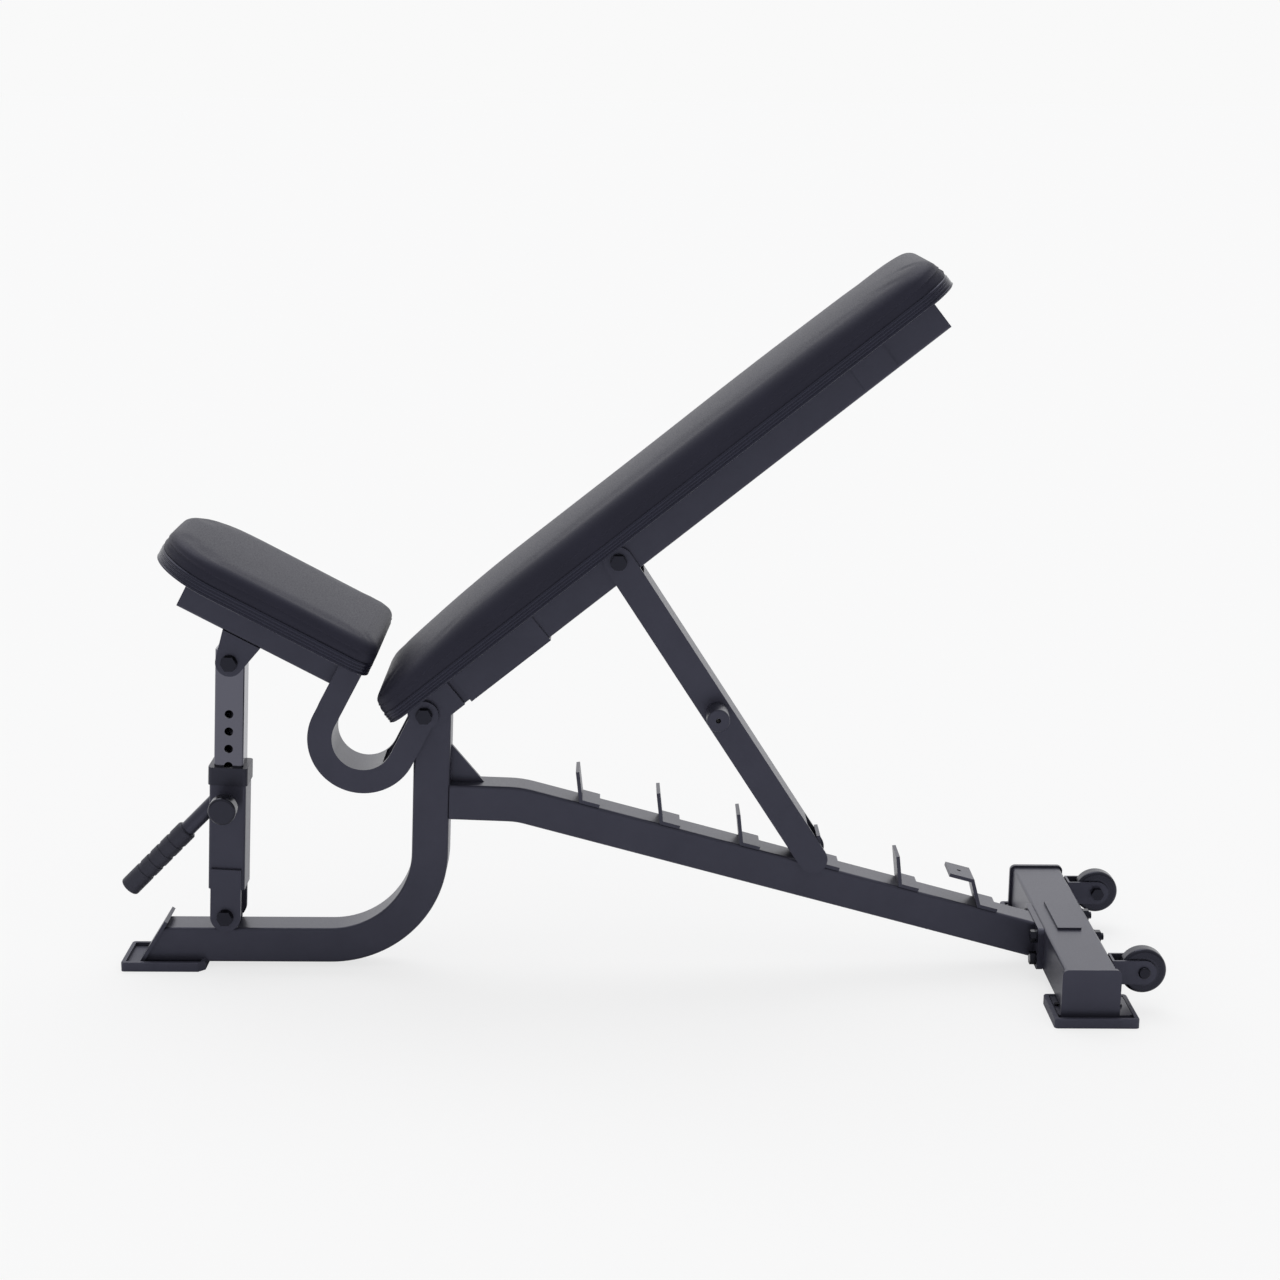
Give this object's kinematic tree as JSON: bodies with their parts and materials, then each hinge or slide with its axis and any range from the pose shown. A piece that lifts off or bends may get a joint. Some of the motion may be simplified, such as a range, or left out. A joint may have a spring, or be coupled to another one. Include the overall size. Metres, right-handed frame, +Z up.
{
  "type": "adjustable weight bench",
  "caption": "Adjustable weight bench with a tilting seat on a pinned leg, a backrest held by a strut in a row of catches, and transport wheels.",
  "frame": {"origin": "on the floor under the middle of the front foot", "axes": "+X from the front foot to the transport wheels, +Y across the bench away from the pull pin, +Z up"},
  "size_m": [1.422, 0.45, 0.9944],
  "materials": {
    "frame_paint": "satin powder coat",
    "pad_vinyl": "matte vinyl",
    "cover_plastic": "matte",
    "plywood": "raw",
    "foot_rubber": "matte",
    "grip_rubber": "matte",
    "wheel_tyre": "satin",
    "wheel_hub": "satin",
    "leg_chrome": "polished",
    "collar_plastic": "matte",
    "knob_plastic": "satin",
    "bare_steel": "bright",
    "black_hardware": "gloss black"
  },
  "bodies": {
    "base": {"main_frame_tube": "frame_paint", "front_end_plate": "frame_paint", "front_foot": "foot_rubber", "rear_beam": "frame_paint", "gusset_plate": "frame_paint", "catch_plate_1": "frame_paint", "catch_plate_2": "frame_paint", "catch_plate_3": "frame_paint", "catch_plate_4": "frame_paint", "catch_plate_5": "frame_paint", "end_stop_catch": "frame_paint", "beam_flange": "frame_paint", "flange_bolts": "black_hardware", "rear_cross_tube": "frame_paint", "cross_tube_end_plates": "frame_paint", "rear_foot_near": "foot_rubber", "rear_foot_far": "foot_rubber", "foot_screws": "black_hardware", "badge_plate": "frame_paint", "wheel_brackets": "frame_paint", "axle_bolts": "black_hardware", "leg_lugs": "frame_paint", "pivot_bolts": "black_hardware"},
    "wheel_near_body": {"wheel_tyre_near": "wheel_tyre", "wheel_hub_near": "wheel_hub"},
    "wheel_far_body": {"wheel_tyre_far": "wheel_tyre", "wheel_hub_far": "wheel_hub"},
    "seat": {"seat_pad": "pad_vinyl", "seat_board": "plywood", "seat_base_cover": "cover_plastic", "seat_rail": "frame_paint", "seat_ears": "frame_paint", "hook_plates": "frame_paint", "hook_web": "frame_paint", "hook_packing": "frame_paint", "seat_pad_mounts": "frame_paint", "seat_screws": "black_hardware", "ear_bolt": "black_hardware"},
    "backrest": {"back_pad": "pad_vinyl", "back_board": "plywood", "back_base_cover": "cover_plastic", "back_rail": "frame_paint", "rail_doubler": "frame_paint", "back_ears": "frame_paint", "back_pad_mounts": "frame_paint", "back_screws": "black_hardware", "strut_bolt": "black_hardware"},
    "strut": {"strut_channel": "frame_paint", "strut_handle_bar": "frame_paint", "strut_pin": "frame_paint"},
    "leg_sleeve": {"leg_sleeve_tube": "frame_paint", "sleeve_collar": "collar_plastic", "leg_clevis": "frame_paint", "handle_neck": "frame_paint", "handle_grip": "grip_rubber", "pin_housing": "frame_paint", "pin_spring": "bare_steel"},
    "leg_inner": {"inner_leg_tube": "leg_chrome"},
    "pin_body": {"pull_pin": "bare_steel", "pin_knob": "knob_plastic"}
  },
  "joints": [
    {"name": "backrest_tilt", "type": "hinge", "parent": "base", "child": "backrest", "pos_m": [0.3668, 0, 0.369], "axis": [0, -1, 0], "range_deg": [0, 29]},
    {"name": "strut_swing", "type": "hinge", "parent": "backrest", "child": "strut", "pos_m": [0.62855, 0, 0.58127], "axis": [0, -1, 0], "range_deg": [-29, 0]},
    {"name": "seat_tilt", "type": "hinge", "parent": "base", "child": "seat", "pos_m": [0.3668, 0, 0.369], "axis": [0, -1, 0], "range_deg": [0, 26.05]},
    {"name": "leg_swing", "type": "hinge", "parent": "base", "child": "leg_sleeve", "pos_m": [0.0872, 0, 0.076], "axis": [0, -1, 0], "range_deg": [0, 1]},
    {"name": "leg_slide", "type": "slide", "parent": "leg_sleeve", "child": "leg_inner", "axis": [-0.0459, 0, -0.9989], "range_m": [0, 0.123]},
    {"name": "pull_pin", "type": "slide", "parent": "leg_sleeve", "child": "pin_body", "axis": [0, -1, 0], "range_m": [0, 0.008], "stiffness_N_per_m": 1500, "springref_m": -0.006},
    {"name": "wheel_near_spin", "type": "hinge", "parent": "base", "child": "wheel_near_body", "pos_m": [1.332, -0.155, 0.0565], "axis": [0, 1, 0], "continuous": true},
    {"name": "wheel_far_spin", "type": "hinge", "parent": "base", "child": "wheel_far_body", "pos_m": [1.332, 0.155, 0.0565], "axis": [0, 1, 0], "continuous": true}
  ],
  "couplings": [
    {"joint": "strut_swing", "follows": "backrest_tilt", "ratio": -1},
    {"joint": "leg_swing", "follows": "seat_tilt", "ratio": 0.022},
    {"joint": "leg_slide", "follows": "seat_tilt", "m_per_rad": 0.2695}
  ]
}
